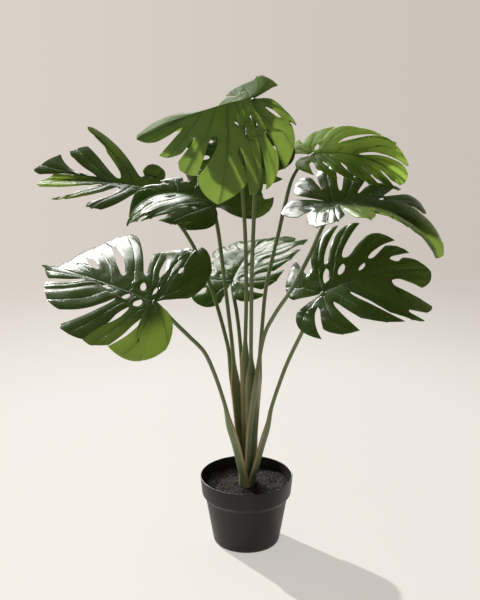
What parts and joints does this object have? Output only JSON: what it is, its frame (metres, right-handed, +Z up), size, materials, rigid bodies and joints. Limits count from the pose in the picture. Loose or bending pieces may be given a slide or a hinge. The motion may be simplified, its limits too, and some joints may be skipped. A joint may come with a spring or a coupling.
{
  "type": "potted monstera plant",
  "caption": "Upright potted monstera with long arched stalks, large split and pierced heart-shaped leaves, and a plain round nursery pot filled with dark soil.",
  "frame": {"origin": "centre of the pot's flat underside", "axes": "+Z up, the plant's height; -Y to the front, the side that the picture shows; +X to the viewer's right"},
  "size_m": [0.7458, 0.5054, 0.8794],
  "materials": {
    "pot": "satin, near-black moulded plastic",
    "soil": "matt, dark grey, finely granular",
    "leaf": "semi-gloss deep green with paler veins",
    "stalk": "satin grey-green with tan sheath margins"
  },
  "bodies": {
    "root": {"pot": "pot", "soil": "soil", "leaf_top_blade": "leaf", "leaf_top_stalk": "stalk", "leaf_hidden_blade": "leaf", "leaf_hidden_stalk": "stalk", "leaf_back_blade": "leaf", "leaf_back_stalk": "stalk", "leaf_upper_right_blade": "leaf", "leaf_upper_right_stalk": "stalk", "leaf_center_left_blade": "leaf", "leaf_center_left_stalk": "stalk", "leaf_far_left_blade": "leaf", "leaf_far_left_stalk": "stalk", "leaf_middle_right_blade": "leaf", "leaf_middle_right_stalk": "stalk", "leaf_lower_left_blade": "leaf", "leaf_lower_left_stalk": "stalk", "leaf_lower_right_blade": "leaf", "leaf_lower_right_stalk": "stalk"}
  },
  "joints": []
}
